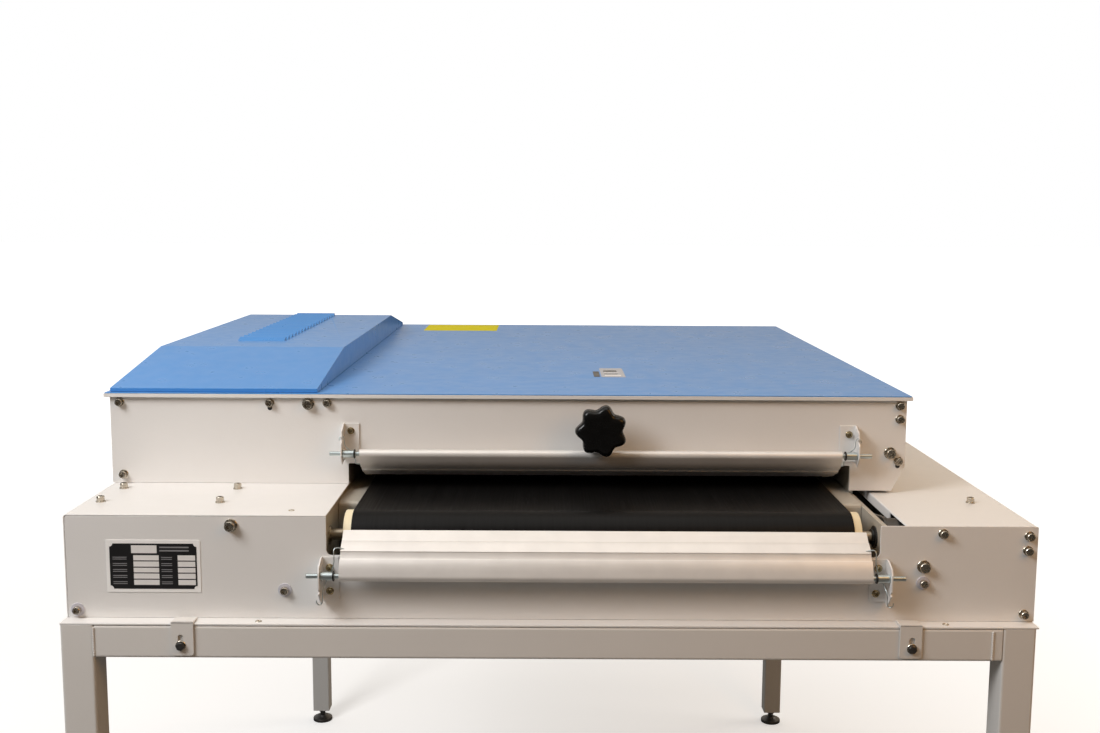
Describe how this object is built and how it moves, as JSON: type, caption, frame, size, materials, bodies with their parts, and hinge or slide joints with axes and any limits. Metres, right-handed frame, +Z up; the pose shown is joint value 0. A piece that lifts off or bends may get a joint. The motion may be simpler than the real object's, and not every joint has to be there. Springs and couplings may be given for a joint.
{
  "type": "continuous belt fusing press",
  "caption": "Floor-standing conveyor press for fusing interlining: two belts between heating plates, pressure rollers, scraper bars, folded sheet housings and a square-tube stand.",
  "frame": {"origin": "centre of the whole machine's footprint, on the floor under the levelling feet", "axes": "+Z up, +Y along the belts from the outlet end to the infeed end, +X across the belts to the right as seen from the outlet end"},
  "size_m": [1.173, 1.556, 1.073],
  "materials": {
    "cream_coat": "satin orange-peel powder coat",
    "stand_coat": "textured powder coat",
    "inner_coat": "satin powder coat",
    "blue_coat": "semi-gloss powder coat",
    "belt_fabric": "matt coated fabric",
    "roller_lagging": "ground silicone",
    "press_silicone": "ground silicone",
    "aluminium": "satin anodised",
    "dark_steel": "oiled",
    "bright_steel": "zinc plated",
    "device_plastic": "moulded",
    "black_plastic": "moulded",
    "green_plastic": "moulded",
    "red_plastic": "moulded"
  },
  "bodies": {
    "machine": {"base_tray": "cream_coat", "bed_plate": "inner_coat", "cable_gland": "black_plastic", "control_panel": "aluminium", "drive_chain": "dark_steel", "electrical_chassis": "device_plastic", "gear_motor": "dark_steel", "hood": "blue_coat", "infeed_panel": "cream_coat", "left_cover": "cream_coat", "left_side_plate": "inner_coat", "levelling_foot_infeed_left": "dark_steel", "levelling_foot_infeed_right": "dark_steel", "levelling_foot_outlet_left": "dark_steel", "levelling_foot_outlet_right": "dark_steel", "lower_belt": "belt_fabric", "lower_heating_plate": "aluminium", "lower_scraper_bracket_left": "cream_coat", "lower_scraper_bracket_right": "cream_coat", "outlet_panel": "cream_coat", "right_cover": "cream_coat", "right_side_plate": "inner_coat", "stand_leg_infeed_left": "stand_coat", "stand_leg_infeed_right": "stand_coat", "stand_leg_outlet_left": "stand_coat", "stand_leg_outlet_right": "stand_coat", "stand_rail_infeed": "stand_coat", "stand_rail_left": "stand_coat", "stand_rail_outlet": "stand_coat", "stand_rail_right": "stand_coat", "top_frame": "cream_coat", "top_panel": "blue_coat", "upper_belt": "belt_fabric", "upper_front_panel": "cream_coat", "upper_heating_plate": "aluminium", "upper_left_wall": "cream_coat", "upper_rear_panel": "cream_coat", "upper_right_wall": "cream_coat", "upper_scraper_bracket_left": "cream_coat", "upper_scraper_bracket_right": "cream_coat"},
    "lower_outlet_roller": {"lower_outlet_roller": "roller_lagging", "roller_sprocket": "dark_steel"},
    "lower_infeed_roller": {"lower_infeed_roller": "roller_lagging"},
    "lower_press_roller": {"lower_press_roller": "press_silicone"},
    "upper_outlet_roller": {"upper_outlet_roller": "roller_lagging"},
    "upper_infeed_roller": {"upper_infeed_roller": "roller_lagging"},
    "upper_press_roller": {"upper_press_roller": "press_silicone"},
    "motor_sprocket": {"motor_sprocket": "dark_steel"},
    "pressure_knob": {"pressure_knob": "black_plastic"},
    "pressure_nut": {"pressure_nut": "bright_steel"},
    "pressure_rocker": {"pressure_rocker": "bright_steel"},
    "lower_scraper": {"lower_scraper_bar": "aluminium"},
    "upper_scraper": {"upper_scraper_bar": "aluminium"},
    "start_button": {"start_button": "green_plastic"},
    "stop_button": {"stop_button": "red_plastic"},
    "emergency_stop": {"emergency_stop": "red_plastic"},
    "speed_dial": {"speed_dial": "black_plastic"},
    "power_switch": {"power_switch": "black_plastic"}
  },
  "joints": [
    {"name": "lower_outlet_roller_spin", "type": "hinge", "parent": "machine", "child": "lower_outlet_roller", "pos_m": [0.0655, -0.705, 0.8748], "axis": [1, 0, 0], "continuous": true},
    {"name": "lower_infeed_roller_spin", "type": "hinge", "parent": "machine", "child": "lower_infeed_roller", "pos_m": [0.0655, 0.705, 0.8748], "axis": [1, 0, 0], "continuous": true},
    {"name": "lower_press_roller_spin", "type": "hinge", "parent": "machine", "child": "lower_press_roller", "pos_m": [0.0655, -0.45, 0.8803], "axis": [1, 0, 0], "continuous": true},
    {"name": "upper_outlet_roller_spin", "type": "hinge", "parent": "machine", "child": "upper_outlet_roller", "pos_m": [0.0655, -0.535, 0.9438], "axis": [1, 0, 0], "continuous": true},
    {"name": "upper_infeed_roller_spin", "type": "hinge", "parent": "machine", "child": "upper_infeed_roller", "pos_m": [0.0655, 0.335, 0.9438], "axis": [1, 0, 0], "continuous": true},
    {"name": "upper_press_roller_spin", "type": "hinge", "parent": "pressure_rocker", "child": "upper_press_roller", "pos_m": [0.0655, -0.45, 0.9383], "axis": [1, 0, 0], "continuous": true},
    {"name": "motor_sprocket_spin", "type": "hinge", "parent": "machine", "child": "motor_sprocket", "pos_m": [0.413, -0.42, 0.835], "axis": [1, 0, 0], "continuous": true},
    {"name": "pressure_knob_turn", "type": "hinge", "parent": "machine", "child": "pressure_knob", "pos_m": [0.0675, -0.579, 0.99], "axis": [0, 1, 0], "range_deg": [0, 1800]},
    {"name": "pressure_nut_travel", "type": "slide", "parent": "machine", "child": "pressure_nut", "axis": [0, 1, 0], "range_m": [0, 0.00875]},
    {"name": "pressure_rocker_lift", "type": "hinge", "parent": "machine", "child": "pressure_rocker", "pos_m": [0.0655, -0.33, 0.995], "axis": [-1, 0, 0], "range_deg": [0, 1.3]},
    {"name": "lower_scraper_swing", "type": "hinge", "parent": "machine", "child": "lower_scraper", "pos_m": [0.0655, -0.77, 0.8415], "axis": [1, 0, 0], "range_deg": [0, 70], "stiffness_Nm_per_rad": 0.25, "springref_deg": -34.38},
    {"name": "upper_scraper_swing", "type": "hinge", "parent": "machine", "child": "upper_scraper", "pos_m": [0.0655, -0.6, 0.9545], "axis": [-1, 0, 0], "range_deg": [0, 13], "stiffness_Nm_per_rad": 0.25, "springref_deg": -57.3},
    {"name": "start_button_press", "type": "slide", "parent": "machine", "child": "start_button", "axis": [0, -1, 0], "range_m": [0, 0.003], "stiffness_N_per_m": 400},
    {"name": "stop_button_press", "type": "slide", "parent": "machine", "child": "stop_button", "axis": [0, -1, 0], "range_m": [0, 0.003], "stiffness_N_per_m": 400},
    {"name": "emergency_stop_press", "type": "slide", "parent": "machine", "child": "emergency_stop", "axis": [0, -1, 0], "range_m": [0, 0.005], "stiffness_N_per_m": 800},
    {"name": "speed_dial_turn", "type": "hinge", "parent": "machine", "child": "speed_dial", "pos_m": [-0.3945, 0.3833, 0.97], "axis": [0, 1, 0], "range_deg": [-150, 150]},
    {"name": "power_switch_turn", "type": "hinge", "parent": "machine", "child": "power_switch", "pos_m": [-0.4945, 0.75, 0.85], "axis": [0, 1, 0], "range_deg": [0, 90]}
  ],
  "couplings": [
    {"joint": "lower_infeed_roller_spin", "follows": "lower_outlet_roller_spin", "ratio": 1},
    {"joint": "lower_press_roller_spin", "follows": "lower_outlet_roller_spin", "ratio": 1.2174},
    {"joint": "upper_outlet_roller_spin", "follows": "lower_outlet_roller_spin", "ratio": -1},
    {"joint": "upper_infeed_roller_spin", "follows": "lower_outlet_roller_spin", "ratio": -1},
    {"joint": "upper_press_roller_spin", "follows": "lower_outlet_roller_spin", "ratio": -1.2174},
    {"joint": "motor_sprocket_spin", "follows": "lower_outlet_roller_spin", "ratio": 1.5},
    {"joint": "pressure_nut_travel", "follows": "pressure_knob_turn", "m_per_rad": 0.00027852},
    {"joint": "pressure_rocker_lift", "follows": "pressure_knob_turn", "ratio": 0.00072222}
  ]
}
